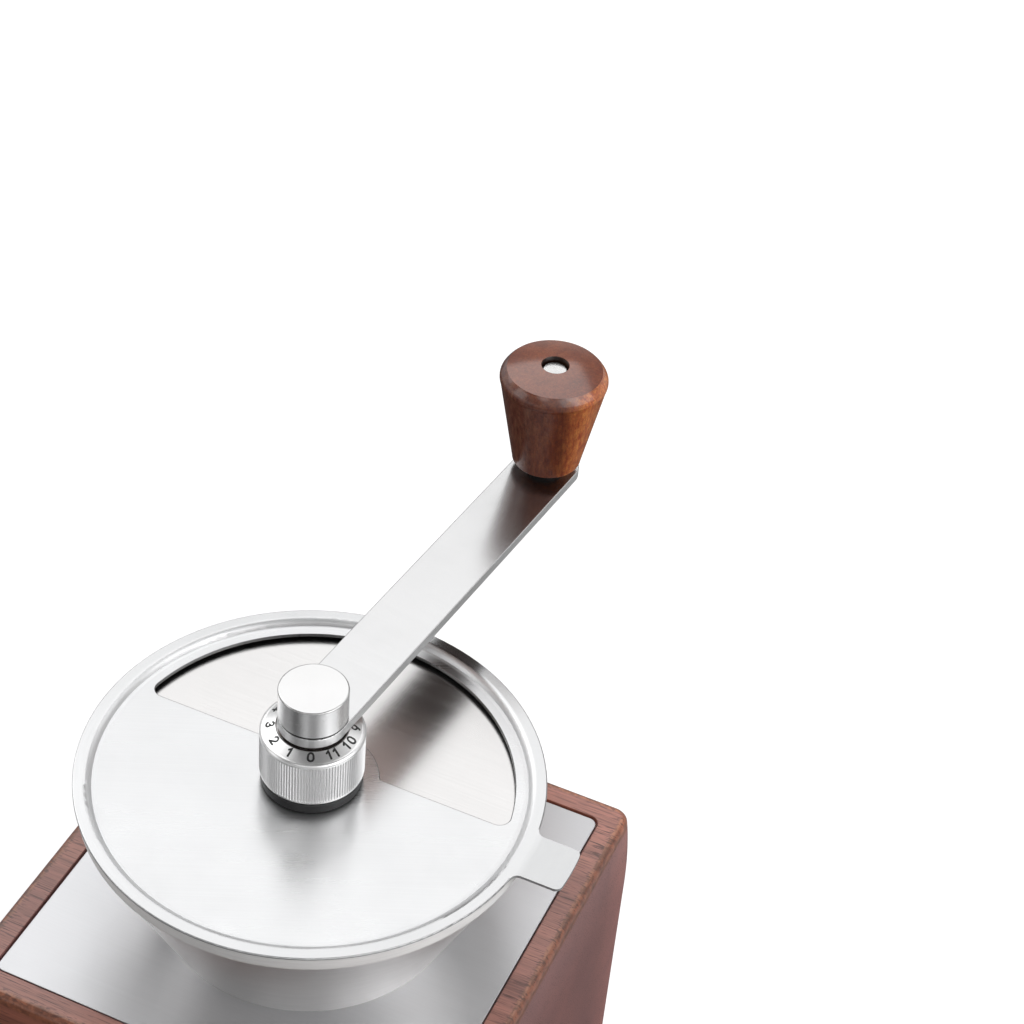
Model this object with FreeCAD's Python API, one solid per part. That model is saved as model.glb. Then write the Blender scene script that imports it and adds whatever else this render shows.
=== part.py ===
import FreeCAD, Part
import math
import os
from FreeCAD import Vector as V

os.makedirs("parts", exist_ok=True)

# ---------------------------------------------------------------- driving dimensions (mm)
# frame: origin at the middle of the resting face, +Z up, +X towards the lid tab,
# -Y towards the drawer front

# wooden box
BOX_HALF = 66.8           # half of the outer width
BOX_TOP_HALF = 65.3       # the sides lean in along an arc to this half width at the top
BOW_Z = 86.0              # where that arc begins
BODY_Z0 = 2.0
BODY_Z1 = 112.0
CORNER_R = 4.7            # upright corners
RIM_ROUND = 1.9           # outer top edge
FOOT_ROUND = 1.2          # outer bottom edge
CAVITY_HALF = 54.0
PAD_HALF = 61.0
BOARD_HALF = 61.8
BOARD_T = 6.0

# drawer
OPEN_HALF_X = 45.5
OPEN_Z0 = 11.0
OPEN_Z1 = 58.5
DRAWER_HALF_X = 44.0
DRAWER_Z0 = 11.3
DRAWER_Z1 = 52.0
DRAWER_BACK_Y = 44.0
DRAWER_WALL = 6.0
FRONT_T = 10.0
FRONT_GAP = 0.5

# top plate
PLATE_HALF = 58.2
PLATE_T = 1.0
PLATE_Z1 = 111.6
PLATE_CORNER = 2.3
PLATE_GAP = 0.5

# hopper and lid
LID_Z = 157.2             # top of the lid's flange
LID_R = 59.0
LID_STEP_R = 54.35
LID_ROLL = 2.2            # radius of the flange's rounded inner edge
LID_STEP = 1.5            # flange top above disc top
LID_SHEET = 0.8
LID_OPEN_R = 51.1
LID_OPEN_Y = 6.7
LID_HUB_R = 17.0
TAB_R = 70.7
TAB_HALF = 7.0
HOPPER_BASE_R = 38.9
HOPPER_TOP_R = 57.0
RIM_R = 58.4
RIM_IN_R = 57.2
RIM_H = 4.4
MOUTH_R = 29.5
COVER_Z1 = LID_Z - 3.4
COVER_T = 1.0

# hub stack
SLEEVE_R = 9.0
SLEEVE_IN_R = 6.6
SHAFT_R = 5.0
SHAFT_LOW_R = 4.0
RUN = 0.05                # radial running clearance
RING_R = 13.15
KNURL_DEPTH = 0.32
KNURL_N = 108
RING_Z0 = LID_Z + 1.7
RING_SHOULDER_Z = LID_Z + 15.6
RING_SHOULDER_R = 12.1
RING_TOP_Z = LID_Z + 16.7
RING_TOP_R = 8.95

# crank
ARM_Z1 = LID_Z + 20.2
ARM_T = 2.9
ARM_Z0 = ARM_Z1 - ARM_T
ARM_HALF = 8.75
ARM_LENGTH = 115.8        # shaft axis to knob axis
ARM_CORNER = 6.8          # corners of the knob end
ARM_TURN = 5.9            # degrees from +Y towards +X
CAP_R = 8.75
CAP_Z1 = LID_Z + 29.2
SQUARE = 7.0

# crank knob
KNOB_Z0 = ARM_Z1 + 3.0
KNOB_BASE_R = 9.45
KNOB_MAX_R = 14.7
KNOB_MAX_Z = ARM_Z1 + 30.6
KNOB_TOP_R = 12.95
KNOB_EDGE_Z = ARM_Z1 + 33.65
KNOB_Z1 = KNOB_EDGE_Z + 1.4   # the top is slightly domed
SPINDLE_R = 2.5
HEAD_R = 3.3
KNOB_HOLE_R = 3.65

# burr set
BURR_Z0 = 78.0
BURR_Z1 = 103.0
BURR_OUT_R = 23.0
BURR_TIP_R = 21.3         # outer burr's tooth tips at BURR_Z0
BURR_SLOPE = 0.425
BURR_GAP = 0.7
HOUSING_R = 26.5
SEAT_Z = 100.3            # shoulder that the inner burr sits on
BRIDGE_Z0 = 70.0
BRIDGE_Z1 = 74.0
SHAFT_Z0 = 58.5

Z = V(0, 0, 1)
O = V(0, 0, 0)


# ---------------------------------------------------------------- helpers
def box(x0, x1, y0, y1, z0, z1):
    return Part.makeBox(x1 - x0, y1 - y0, z1 - z0, V(x0, y0, z0))


def cyl(r, z0, z1, x=0.0, y=0.0):
    return Part.makeCylinder(r, z1 - z0, V(x, y, z0), Z)


def tube(r0, r1, z0, z1, x=0.0, y=0.0):
    return cyl(r1, z0, z1, x, y).cut(cyl(r0, z0, z1, x, y))


def cone(r0, r1, z0, z1, x=0.0, y=0.0):
    return Part.makeCone(r0, r1, z1 - z0, V(x, y, z0), Z)


def rev(points):
    """Solid of revolution about Z from a closed list of (radius, z); an item
    of four numbers is an arc through a middle point to an end point."""
    edges = []
    start = V(points[0][0], 0, points[0][1])
    last = start
    for p in points[1:]:
        if len(p) == 4:
            mid, end = V(p[0], 0, p[1]), V(p[2], 0, p[3])
            edges.append(Part.Arc(last, mid, end).toShape())
        else:
            end = V(p[0], 0, p[1])
            edges.append(Part.LineSegment(last, end).toShape())
        last = end
    if (last - start).Length > 1e-9:
        edges.append(Part.LineSegment(last, start).toShape())
    face = Part.Face(Part.Wire(edges))
    return face.revolve(O, Z, 360)


def rounded(half, z0, z1, r):
    """Square prism with rounded upright corners."""
    b = box(-half, half, -half, half, z0, z1)
    up = [e for e in b.Edges if abs(e.tangentAt(e.FirstParameter).z) > 0.99]
    return b.makeFillet(r, up)


def edges_at(shape, z, test=None):
    found = []
    for e in shape.Edges:
        bb = e.BoundBox
        if abs(bb.ZMin - z) < 1e-6 and abs(bb.ZMax - z) < 1e-6:
            if test is None or test(e):
                found.append(e)
    return found


def one(shape):
    """The single solid of a boolean result, with leftover seams removed."""
    s = shape.removeSplitter()
    solids = s.Solids
    if len(solids) != 1:
        raise ValueError("expected one solid, got %d" % len(solids))
    return solids[0]


def turned(shape, deg, x=0.0, y=0.0):
    s = shape.copy()
    s.rotate(V(x, y, 0), Z, deg)
    return s


def hexagon(across, z0, z1, x=0.0, y=0.0):
    r = across / math.sqrt(3.0)
    pts = [V(x + r * math.cos(math.radians(60 * i)), y + r * math.sin(math.radians(60 * i)), z0) for i in range(7)]
    return Part.Face(Part.makePolygon(pts)).extrude(V(0, 0, z1 - z0))


def star(n, tip, root, z, turn=0.0, flat=0.3):
    """Closed tooth outline: n teeth with a narrow flat on each tip and root."""
    pts = []
    step = 2 * math.pi / n
    for i in range(n):
        a = i * step + math.radians(turn)
        for frac, r in ((-0.5 + flat / 2, root), (-flat / 2, tip), (flat / 2, tip), (0.5 - flat / 2, root)):
            pts.append(V(r * math.cos(a + frac * step), r * math.sin(a + frac * step), z))
    pts.append(pts[0])
    return Part.makePolygon(pts)


def save(name, shape):
    solids = shape.Solids
    for s in solids:
        if not s.isValid() or s.Volume <= 0 or not s.isClosed():
            raise ValueError("bad solid in " + name)
    out = solids[0] if len(solids) == 1 else Part.makeCompound(solids)
    out.exportStep("parts/%s.step" % name)
    print("%-18s solids %2d  volume %10.2f" % (name, len(solids), sum(s.Volume for s in solids)))


# ---------------------------------------------------------------- wooden box
def bowed(half, top_half, z0, bow_z, z1):
    """Slab along Y whose two X faces lean in along an arc towards the top."""
    inset, high = half - top_half, z1 - bow_z
    r = (inset * inset + high * high) / (2.0 * inset)
    xm = half - r + math.sqrt(r * r - high * high / 4.0)
    zm = bow_z + high / 2.0
    y = -half - 1.0
    p = [V(-half, y, z0), V(half, y, z0), V(half, y, bow_z), V(top_half, y, z1), V(-top_half, y, z1), V(-half, y, bow_z)]
    edges = [
        Part.LineSegment(p[0], p[1]).toShape(), Part.LineSegment(p[1], p[2]).toShape(),
        Part.Arc(p[2], V(xm, y, zm), p[3]).toShape(), Part.LineSegment(p[3], p[4]).toShape(),
        Part.Arc(p[4], V(-xm, y, zm), p[5]).toShape(), Part.LineSegment(p[5], p[0]).toShape()]
    return Part.Face(Part.Wire(edges)).extrude(V(0, 2.0 * half + 2.0, 0))


slab = bowed(BOX_HALF, BOX_TOP_HALF, BODY_Z0, BOW_Z, BODY_Z1)
body = one(slab.common(turned(slab, 90)))
body = body.makeFillet(CORNER_R, [e for e in body.Edges if e.BoundBox.ZMax - e.BoundBox.ZMin > 5])
body = body.makeFillet(RIM_ROUND, edges_at(body, BODY_Z1))
body = body.makeFillet(FOOT_ROUND, edges_at(body, BODY_Z0))
ledge_z = PLATE_Z1 - PLATE_T
board_z1 = BODY_Z0 + BOARD_T
recess = rounded(PLATE_HALF + PLATE_GAP, ledge_z, BODY_Z1 + 1, PLATE_CORNER + PLATE_GAP)
body = body.cut(rounded(CAVITY_HALF, BODY_Z0 - 1, BODY_Z1 + 1, 4.0))
body = body.cut(recess)
body = body.cut(rounded(BOARD_HALF + 0.2, BODY_Z0 - 1, board_z1, 2.2))
drawer_hole = box(-OPEN_HALF_X, OPEN_HALF_X, -BOX_HALF - 1, -CAVITY_HALF + 1, OPEN_Z0, OPEN_Z1)
body = body.cut(drawer_hole)
SCREW_XY = [(sx * 58.0, sy * 40.0) for sx in (-1, 1) for sy in (-1, 1)]
for x, y in SCREW_XY:
    body = body.cut(cyl(1.5, board_z1 - 0.5, 22.0, x, y))
body = one(body)
inner_rim = [e for e in edges_at(body, BODY_Z1) if max(abs(e.BoundBox.XMin), abs(e.BoundBox.XMax), abs(e.BoundBox.YMin), abs(e.BoundBox.YMax)) < PLATE_HALF + PLATE_GAP + 0.1]
body = body.makeFillet(0.2, inner_rim)
front_edges = []
for e in body.Edges:
    bb = e.BoundBox
    if abs(bb.YMin + BOX_HALF) < 1e-6 and abs(bb.YMax + BOX_HALF) < 1e-6 and bb.XMin > -OPEN_HALF_X - 0.1 and bb.XMax < OPEN_HALF_X + 0.1 and bb.ZMin > OPEN_Z0 - 0.1 and bb.ZMax < OPEN_Z1 + 0.1:
        front_edges.append(e)
body = body.makeFillet(0.5, front_edges)
save("wood_body", body)

board = rounded(BOARD_HALF, BODY_Z0, board_z1, 2.0)
for x, y in SCREW_XY:
    board = board.cut(cyl(1.5, BODY_Z0 - 1, board_z1 + 1, x, y)).cut(cone(2.8, 1.5, BODY_Z0, BODY_Z0 + 1.8, x, y))
save("bottom_board", one(board))

screws = []
for x, y in SCREW_XY:
    s = cone(2.8, 1.5, BODY_Z0, BODY_Z0 + 1.8, x, y).fuse(cyl(1.5, BODY_Z0 + 1.8, 19.0, x, y)).fuse(cone(1.5, 0.3, 19.0, 22.0, x, y))
    s = s.cut(box(x - 1.6, x + 1.6, y - 0.3, y + 0.3, BODY_Z0, BODY_Z0 + 0.9)).cut(box(x - 0.3, x + 0.3, y - 1.6, y + 1.6, BODY_Z0, BODY_Z0 + 0.9))
    screws.append(one(s))
save("bottom_screws", Part.makeCompound(screws))

pad = rounded(PAD_HALF, 0.0, BODY_Z0, 6.0)
save("base_pad", pad)

# guides: a side block with a low runner, one each side of the drawer
guides = []
for s in (-1, 1):
    xs = sorted((s * 34.0, s * (CAVITY_HALF - 0.0)))
    run = box(xs[0], xs[1], -50.0, 50.0, board_z1, OPEN_Z0)
    xs = sorted((s * 44.5, s * CAVITY_HALF))
    side = box(xs[0], xs[1], -50.0, 50.0, board_z1, 26.0)
    guides.append(one(run.fuse(side)))
save("drawer_guides", Part.makeCompound(guides))

# ---------------------------------------------------------------- drawer
fx = OPEN_HALF_X - FRONT_GAP
front = box(-fx, fx, -BOX_HALF, -BOX_HALF + FRONT_T, OPEN_Z0 + FRONT_GAP, OPEN_Z1 - FRONT_GAP)
front = front.makeFillet(0.8, [e for e in front.Edges if abs(e.BoundBox.YMax + BOX_HALF) < 1e-6])
knob_cz = (OPEN_Z0 + OPEN_Z1) / 2.0
front = front.cut(Part.makeCylinder(2.0, 30, V(0, -BOX_HALF - 5, knob_cz), V(0, 1, 0)))
save("drawer_front", one(front))

y_in = -BOX_HALF + FRONT_T
sides = []
for s in (-1, 1):
    xs = sorted((s * (DRAWER_HALF_X - DRAWER_WALL), s * DRAWER_HALF_X))
    sides.append(box(xs[0], xs[1], y_in, DRAWER_BACK_Y, DRAWER_Z0, DRAWER_Z1))
save("drawer_sides", Part.makeCompound(sides))
dx = DRAWER_HALF_X - DRAWER_WALL
save("drawer_back", box(-dx, dx, DRAWER_BACK_Y - DRAWER_WALL, DRAWER_BACK_Y, DRAWER_Z0, DRAWER_Z1))
save("drawer_bottom", box(-dx, dx, y_in, DRAWER_BACK_Y - DRAWER_WALL, DRAWER_Z0 + 1.0, DRAWER_Z0 + 4.0))

# drawer knob turned about an axis along -Y
dk = rev([(0, 0), (5.2, 0), (5.2, 0.8), (4.4, 2.0), (5.0, 6.0), (8.6, 15.0), (9.3, 16.0, 9.0, 17.0), (8.2, 18.0), (0, 18.0)])
dk = dk.cut(cyl(2.0, -1, 10.0))
dk.rotate(O, V(1, 0, 0), 90)
dk.translate(V(0, -BOX_HALF, knob_cz))
save("drawer_knob", one(dk))
ds = cyl(2.0, -FRONT_T, 9.5).fuse(rev([(0, -FRONT_T - 2.4), (2.4, -FRONT_T - 2.4), (3.5, -FRONT_T - 1.2), (3.5, -FRONT_T), (0, -FRONT_T)]))
ds = ds.cut(box(-2.0, 2.0, -0.4, 0.4, -FRONT_T - 3, -FRONT_T - 1.2)).cut(box(-0.4, 0.4, -2.0, 2.0, -FRONT_T - 3, -FRONT_T - 1.2))
ds.rotate(O, V(1, 0, 0), 90)
ds.translate(V(0, -BOX_HALF, knob_cz))
save("drawer_screw", one(ds))

magnet = Part.makeCylinder(6.0, CAVITY_HALF - DRAWER_BACK_Y - 2.2, V(0, DRAWER_BACK_Y + 2.2, 32.0), V(0, 1, 0))
save("drawer_magnet", magnet)
strike = Part.makeCylinder(7.0, 1.5, V(0, DRAWER_BACK_Y, 32.0), V(0, 1, 0))
save("strike_plate", strike)

# ---------------------------------------------------------------- top plate and hopper
FIX_R = 33.5
FIX_XY = [(FIX_R * math.cos(math.radians(a)), FIX_R * math.sin(math.radians(a))) for a in (45, 135, 225, 315)]
plate = rounded(PLATE_HALF, ledge_z, PLATE_Z1, PLATE_CORNER)
plate = plate.makeFillet(0.25, edges_at(plate, PLATE_Z1))
plate = plate.cut(cyl(MOUTH_R, ledge_z - 1, PLATE_Z1 + 1))
for x, y in FIX_XY:
    plate = plate.cut(cyl(2.15, ledge_z - 1, PLATE_Z1 + 1, x, y))
save("top_plate", one(plate))

rim_z1 = LID_Z - LID_SHEET - 0.25
rim_z0 = rim_z1 - RIM_H
cone_z1 = rim_z0 - 0.55
cover_z0 = COVER_Z1 - COVER_T
slope = (HOPPER_TOP_R - HOPPER_BASE_R) / (cone_z1 - PLATE_Z1)
wall = 1.35
floor_z = PLATE_Z1 + 1.2
hopper = rev([
    (MOUTH_R, PLATE_Z1), (HOPPER_BASE_R, PLATE_Z1), (HOPPER_TOP_R, cone_z1),
    (RIM_R - 0.42, rim_z0 + 0.2, RIM_R, rim_z0 + 1.3),
    (RIM_R, rim_z1 - 0.4), (RIM_R - 0.12, rim_z1 - 0.12, RIM_R - 0.4, rim_z1),
    (RIM_IN_R + 0.3, rim_z1), (RIM_IN_R, rim_z1 - 0.3), (RIM_IN_R, cover_z0),
    (HOPPER_BASE_R + slope * (cover_z0 - PLATE_Z1) - wall, cover_z0),
    (HOPPER_BASE_R + slope * (floor_z - PLATE_Z1) - wall, floor_z), (MOUTH_R, floor_z)])
for x, y in FIX_XY:
    hopper = hopper.cut(cyl(2.15, PLATE_Z1 - 1, floor_z + 1, x, y))
save("hopper", one(hopper))


def half_opening(z0, z1, r, y0, hub_r, corner):
    """Half-round opening behind the line y = y0, running round the hub."""
    s = cyl(r, z0, z1).common(box(-100, 100, y0, 100, z0, z1)).cut(cyl(hub_r, z0, z1))
    s = one(s)
    outer, inner = [], []
    for e in s.Edges:
        bb = e.BoundBox
        if bb.ZMax - bb.ZMin > (z1 - z0) * 0.9 and bb.XMax - bb.XMin < 1e-6:
            (outer if math.hypot(bb.XMin, bb.YMin) > r - 1 else inner).append(e)
    s = s.makeFillet(corner, outer + [])
    inner = [e for e in s.Edges if e.BoundBox.ZMax - e.BoundBox.ZMin > (z1 - z0) * 0.9 and e.BoundBox.XMax - e.BoundBox.XMin < 1e-6 and math.hypot(e.BoundBox.XMin, e.BoundBox.YMin) < hub_r + 1]
    return s.makeFillet(1.2, inner)


cover = cyl(RIM_IN_R - 0.1, cover_z0, COVER_Z1).cut(cyl(SLEEVE_R, cover_z0, COVER_Z1))
opening = half_opening(cover_z0 - 1, COVER_Z1 + 1, 50.5, LID_OPEN_Y, LID_HUB_R + 0.5, 3.0)
cover = cover.cut(turned(opening, 180))
RIVET_R = 13.0
RIVET_XY = [(RIVET_R * math.cos(math.radians(a)), RIVET_R * math.sin(math.radians(a))) for a in (90, 210, 330)]
for x, y in RIVET_XY:
    cover = cover.cut(cyl(1.5, cover_z0 - 1, COVER_Z1 + 1, x, y))
save("hopper_cover", one(cover))

lid_disc_z = LID_Z - LID_STEP
lid_under_z = lid_disc_z - LID_SHEET
tab_z0 = LID_Z - LID_SHEET
roll = math.acos(1 - LID_STEP / LID_ROLL)
roll_out = LID_ROLL * math.sin(roll)
lid = rev([
    (SLEEVE_R + 0.35, lid_under_z), (LID_STEP_R + 0.3, lid_under_z),
    (LID_STEP_R + 0.8, lid_under_z + 0.2, LID_STEP_R + 1.0, lid_under_z + 0.7), (LID_STEP_R + 1.2, tab_z0 - 0.2),
    (LID_STEP_R + 1.4, tab_z0), (LID_R - 0.3, tab_z0),
    (LID_R - 0.09, tab_z0 + 0.09, LID_R, tab_z0 + 0.3), (LID_R, LID_Z - 0.3),
    (LID_R - 0.09, LID_Z - 0.09, LID_R - 0.3, LID_Z), (LID_STEP_R + roll_out, LID_Z),
    (LID_STEP_R + roll_out - LID_ROLL * math.sin(roll / 2), LID_Z - LID_ROLL * (1 - math.cos(roll / 2)), LID_STEP_R, lid_disc_z),
    (SLEEVE_R + 0.35, lid_disc_z)])
tab = box(LID_R - 3.0, TAB_R + 3, -TAB_HALF, TAB_HALF, tab_z0, LID_Z).common(cyl(TAB_R, tab_z0, LID_Z))
ends = [e for e in tab.Edges if e.BoundBox.ZMax - e.BoundBox.ZMin > 0.5 and e.BoundBox.XMin > LID_R + 5]
tab = tab.makeFillet(1.8, ends)
roots = []
for s in (-1, 1):
    # small concave fillet where the tab leaves the round flange
    f = 2.0
    a = math.asin((TAB_HALF + f) / (LID_R + f))
    cx, cy = (LID_R + f) * math.cos(a), s * (TAB_HALF + f)
    px, py = LID_R * math.cos(a), s * LID_R * math.sin(a)
    corners = [(px - 2, py), (px, py), (cx, cy), (cx, s * TAB_HALF), (cx, s * (TAB_HALF - 1.5)), (px - 2, s * (TAB_HALF - 1.5)), (px - 2, py)]
    tri = Part.Face(Part.makePolygon([V(x, y, tab_z0) for x, y in corners])).extrude(V(0, 0, LID_SHEET))
    roots.append(tri.cut(cyl(f, lid_disc_z - 1, LID_Z + 1, cx, cy)))
tab = tab.cut(cyl(LID_STEP_R + 2.5, lid_disc_z - 1, LID_Z + 1))
tongue = tab
for r in roots:
    tongue = tongue.fuse(r.cut(cyl(LID_STEP_R + 2.5, lid_disc_z - 1, LID_Z + 1)))
tongue = one(tongue)
lid = one(lid.fuse(tongue))
lid = one(lid.cut(half_opening(lid_disc_z - 3, LID_Z + 1, LID_OPEN_R, LID_OPEN_Y, LID_HUB_R, 3.0)))
lid = lid.makeFillet(0.35, edges_at(lid, lid_disc_z, lambda e: e.BoundBox.YMin > LID_OPEN_Y - 0.5))
save("lid", one(lid))

# ---------------------------------------------------------------- hub: sleeve, bush, collar, ring
sleeve_z0 = cover_z0 - 2.0
sleeve_z1 = LID_Z + 7.0
sleeve = rev([(SLEEVE_IN_R, sleeve_z0), (16.5, sleeve_z0), (16.5, cover_z0), (SLEEVE_R, cover_z0), (SLEEVE_R, sleeve_z1), (SLEEVE_IN_R, sleeve_z1)])
for x, y in RIVET_XY:
    sleeve = sleeve.cut(cyl(1.5, sleeve_z0 - 1, cover_z0 + 1, x, y))
save("bearing_sleeve", one(sleeve))

rivets = []
for x, y in RIVET_XY:
    dome = rev([
        (0, sleeve_z0 - 1.2), (1.0, sleeve_z0 - 1.2), (2.1, sleeve_z0 - 0.8, 2.6, sleeve_z0), (1.5, sleeve_z0), (1.5, COVER_Z1), (2.6, COVER_Z1),
        (2.1, COVER_Z1 + 0.38, 1.0, COVER_Z1 + 0.55), (0, COVER_Z1 + 0.55)])
    dome.translate(V(x, y, 0))
    rivets.append(one(dome))
save("sleeve_rivets", Part.makeCompound(rivets))

save("upper_bush", tube(SHAFT_R + RUN, SLEEVE_IN_R, sleeve_z0, sleeve_z1))
save("thrust_washer", tube(SHAFT_R + 0.4, SLEEVE_R, sleeve_z1, sleeve_z1 + 0.8))
collar = rev([(SLEEVE_R, lid_disc_z + 0.3), (12.8, lid_disc_z + 0.3), (12.8, LID_Z + 1.0), (12.5, LID_Z + 1.3), (SLEEVE_R, LID_Z + 1.3)])
save("lid_collar", collar)

ring_step = sleeve_z1 + 0.9
pocket_z = RING_TOP_Z - 1.3
ring = rev([
    (SLEEVE_R + 0.6, RING_Z0), (RING_R - 0.6, RING_Z0), (RING_R, RING_Z0 + 0.6), (RING_R, RING_SHOULDER_Z - 0.9),
    (RING_R - 0.27, RING_SHOULDER_Z - 0.33, RING_SHOULDER_R, RING_SHOULDER_Z), (RING_TOP_R + 0.25, RING_TOP_Z), (RING_TOP_R, RING_TOP_Z - 0.2),
    (RING_TOP_R, pocket_z), (SHAFT_R + RUN, pocket_z), (SHAFT_R + RUN, ring_step), (SLEEVE_R + 0.6, ring_step)])
kz0, kz1 = RING_Z0 + 1.0, RING_SHOULDER_Z - 1.1
teeth = Part.Face(star(KNURL_N, RING_R + 0.02, RING_R - KNURL_DEPTH, kz0, 0.0, 0.12)).extrude(V(0, 0, kz1 - kz0))
grooves = cyl(RING_R + 2, kz0, kz1).cut(teeth)
ring = one(ring.cut(grooves))
save("adjuster_ring", ring)

flat_x = 4.2
washer_z0 = pocket_z + 0.1
index = tube(0.5, RING_TOP_R - 0.3, washer_z0, washer_z0 + 0.8)
hole = cyl(SHAFT_R + RUN, washer_z0 - 1, washer_z0 + 2).cut(box(flat_x + RUN, 20, -20, 20, washer_z0 - 2, washer_z0 + 3))
save("index_washer", one(index.cut(hole)))

# ---------------------------------------------------------------- shaft and burrs
stud_z1 = CAP_Z1 - 3.4
shaft = rev([
    (0, SHAFT_Z0), (SHAFT_LOW_R - 0.6, SHAFT_Z0), (SHAFT_LOW_R, SHAFT_Z0 + 0.6), (SHAFT_LOW_R, 60.5), (3.0, 60.5), (3.0, 61.5), (SHAFT_LOW_R, 61.5),
    (SHAFT_LOW_R, SEAT_Z), (SHAFT_R, SEAT_Z), (SHAFT_R, ARM_Z0), (0, ARM_Z0)])
shaft = shaft.cut(box(flat_x, 20, -20, 20, pocket_z - 0.9, ARM_Z0))
square = turned(box(-SQUARE / 2, SQUARE / 2, -SQUARE / 2, SQUARE / 2, ARM_Z0, ARM_Z1), -ARM_TURN).common(cyl(SHAFT_R - 0.1, ARM_Z0, ARM_Z1))
stud = rev([(0, ARM_Z1), (3.0, ARM_Z1), (3.0, stud_z1 - 0.5), (2.5, stud_z1), (0, stud_z1)])
shaft = one(shaft.fuse(square).fuse(stud))
save("crank_shaft", shaft)


def burr_r(z):
    return BURR_TIP_R - BURR_SLOPE * (z - BURR_Z0)


mouth_z = BURR_Z1 - 4.0
bore = Part.makeLoft([star(20, burr_r(BURR_Z0 - 0.5) + 1.2, burr_r(BURR_Z0 - 0.5), BURR_Z0 - 0.5), star(20, burr_r(mouth_z) + 1.4, burr_r(mouth_z), mouth_z, 10.0)], True, True)
outer = cyl(BURR_OUT_R, BURR_Z0, BURR_Z1).cut(bore).cut(cone(burr_r(mouth_z) + 0.1, BURR_OUT_R - 1.5, mouth_z - 0.02, BURR_Z1 + 0.02))
save("outer_burr", one(outer))

in_z0, in_z1 = BURR_Z0 + 1.0, SEAT_Z
tip0, tip1 = burr_r(in_z0) - BURR_GAP, burr_r(in_z1) - BURR_GAP
inner = Part.makeLoft([star(18, tip0, tip0 - 1.2, in_z0), star(18, tip1, tip1 - 2.2, in_z1, 14.0)], True, True)
inner = inner.cut(cyl(SHAFT_LOW_R, in_z0 - 1, in_z1 + 1))
save("inner_burr", one(inner))

nut = hexagon(13.0, in_z0 - 4.1, in_z0).common(rev([(0, in_z0 - 4.1), (6.6, in_z0 - 4.1), (7.6, in_z0 - 3.5), (7.6, in_z0), (0, in_z0)]))
save("burr_nut", one(nut.cut(cyl(SHAFT_LOW_R, in_z0 - 6, in_z0 + 1))))

flange_z0 = ledge_z - 3.0
LIP_R = 21.8
housing = rev([
    (LIP_R, BRIDGE_Z1), (HOUSING_R, BRIDGE_Z1), (HOUSING_R, flange_z0 - 2.0), (HOUSING_R + 2.0, flange_z0), (40.0, flange_z0), (40.0, ledge_z),
    (MOUTH_R, ledge_z), (BURR_OUT_R, BURR_Z1), (BURR_OUT_R, BURR_Z0), (LIP_R, BURR_Z0)])
for x, y in FIX_XY:
    housing = housing.cut(cyl(2.15, flange_z0 - 1, ledge_z + 1, x, y))
BRIDGE_SCREW_R = 24.2
BRIDGE_XY = [(BRIDGE_SCREW_R * math.cos(math.radians(a)), BRIDGE_SCREW_R * math.sin(math.radians(a))) for a in (90, 210, 330)]
for x, y in BRIDGE_XY:
    housing = housing.cut(cyl(1.5, BRIDGE_Z1 - 1, 77.5, x, y))
GRUB_Z = 88.0
for a in (0, 180):
    g = Part.makeCylinder(1.5, 10, V(BURR_OUT_R, 0, GRUB_Z), V(1, 0, 0))
    housing = housing.cut(turned(g, a))
save("burr_housing", one(housing))

grubs = []
for a in (0, 180):
    g = Part.makeCylinder(1.5, HOUSING_R - BURR_OUT_R - 0.4, V(BURR_OUT_R, 0, GRUB_Z), V(1, 0, 0))
    g = g.cut(Part.makeCylinder(0.75, 2.0, V(HOUSING_R - 1.9, 0, GRUB_Z), V(1, 0, 0)))
    grubs.append(one(turned(g, a)))
save("grub_screws", Part.makeCompound(grubs))

fix, nuts = [], []
for x, y in FIX_XY:
    head = rev([(0, floor_z), (3.5, floor_z), (3.5, floor_z + 1.2), (2.6, floor_z + 2.2, 0, floor_z + 2.5)])
    head.translate(V(x, y, 0))
    s = head.fuse(cyl(2.0, flange_z0 - 4.2, floor_z, x, y))
    s = s.cut(box(x - 2.0, x + 2.0, y - 0.4, y + 0.4, floor_z + 1.2, floor_z + 4)).cut(box(x - 0.4, x + 0.4, y - 2.0, y + 2.0, floor_z + 1.2, floor_z + 4))
    fix.append(one(s))
    nuts.append(one(hexagon(7.0, flange_z0 - 3.2, flange_z0, x, y).cut(cyl(2.0, flange_z0 - 6, flange_z0 + 1, x, y))))
save("housing_screws", Part.makeCompound(fix))
save("housing_nuts", Part.makeCompound(nuts))

BUSH_LOW_R = 6.5
bridge = tube(LIP_R - 1.8, HOUSING_R, BRIDGE_Z0, BRIDGE_Z1).fuse(cyl(9.0, BRIDGE_Z0, BRIDGE_Z1))
for a in (30, 150, 270):
    bridge = bridge.fuse(turned(box(0, LIP_R, -3.5, 3.5, BRIDGE_Z0, BRIDGE_Z1), a))
bridge = bridge.cut(cyl(BUSH_LOW_R, BRIDGE_Z0 - 1, BRIDGE_Z1 + 1))
for x, y in BRIDGE_XY:
    bridge = bridge.cut(cyl(1.5, BRIDGE_Z0 - 1, BRIDGE_Z1 + 1, x, y))
save("lower_bridge", one(bridge))

bolts = []
for x, y in BRIDGE_XY:
    s = cyl(2.3, BRIDGE_Z0 - 2.4, BRIDGE_Z0, x, y).fuse(cyl(1.5, BRIDGE_Z0, 77.0, x, y))
    s = s.cut(hexagon(2.5, BRIDGE_Z0 - 3, BRIDGE_Z0 - 1.1, x, y))
    bolts.append(one(s))
save("bridge_screws", Part.makeCompound(bolts))

spring_z1 = BRIDGE_Z0 - 0.5
save("lower_bush", tube(SHAFT_LOW_R + RUN, BUSH_LOW_R, spring_z1, BRIDGE_Z1))

spring_z0 = 62.5
WIRE_R = 0.5
COIL_R = 5.4
half_turns = 9
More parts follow.
